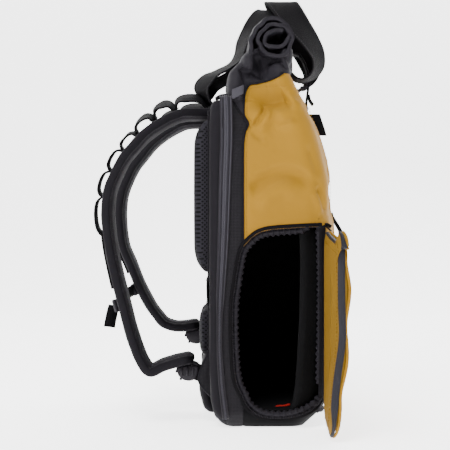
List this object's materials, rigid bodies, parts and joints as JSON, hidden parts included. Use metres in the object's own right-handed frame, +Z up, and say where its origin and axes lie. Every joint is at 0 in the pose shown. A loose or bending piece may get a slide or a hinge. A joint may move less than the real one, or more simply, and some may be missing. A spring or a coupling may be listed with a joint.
{
  "type": "camera backpack",
  "caption": "Roll-top camera backpack standing on its base, side door open on a padded compartment, with harness straps and tote handles.",
  "frame": {"origin": "centre of the flat base", "axes": "+X to the front of the bag, -X to the wearer's back, +Y to the closed side, -Y to the side with the open door, +Z up"},
  "size_m": [0.291, 0.3702, 0.474],
  "materials": {
    "shell_fabric": "coated woven fabric, matt",
    "black_fabric": "ballistic weave",
    "boot_fabric": "smooth coated fabric",
    "webbing": "ribbed nylon webbing",
    "zip_tape": "water-repellent zip tape, satin",
    "air_mesh": "perforated mesh over foam",
    "lining": "dark knitted lining",
    "buckle_plastic": "moulded, satin",
    "red_webbing": "narrow woven tape"
  },
  "bodies": {
    "root": {"main_shell": "shell_fabric", "base_boot": "boot_fabric", "back_frame": "black_fabric", "collar": "boot_fabric", "compartment_liner": "lining", "opening_lip": "lining", "opening_zip": "zip_tape", "door_panel": "shell_fabric", "door_zip": "zip_tape", "roll_top": "boot_fabric", "front_handle": "webbing", "back_handle": "webbing", "back_pad": "air_mesh", "lumbar_pad": "air_mesh", "lower_pad": "black_fabric", "luggage_sleeve": "black_fabric", "lower_wing_near": "black_fabric", "lower_wing_far": "black_fabric", "shoulder_strap_near": "black_fabric", "shoulder_strap_far": "black_fabric", "strap_loops_near": "webbing", "strap_loops_far": "webbing", "sternum_slider_near": "buckle_plastic", "sternum_slider_far": "buckle_plastic", "sternum_buckle": "buckle_plastic", "sternum_strap_near": "webbing", "sternum_strap_far": "webbing", "sternum_tail": "webbing", "ladder_lock_near": "buckle_plastic", "lower_webbing_near": "webbing", "ladder_lock_far": "buckle_plastic", "lower_webbing_far": "webbing", "laptop_zip": "zip_tape", "collar_tab": "webbing", "zip_slider": "buckle_plastic", "lining_tab": "red_webbing", "closure_strap": "webbing", "closure_hook": "buckle_plastic", "closure_tail": "webbing", "gear_loop": "webbing", "front_pull": "webbing"}
  },
  "joints": []
}
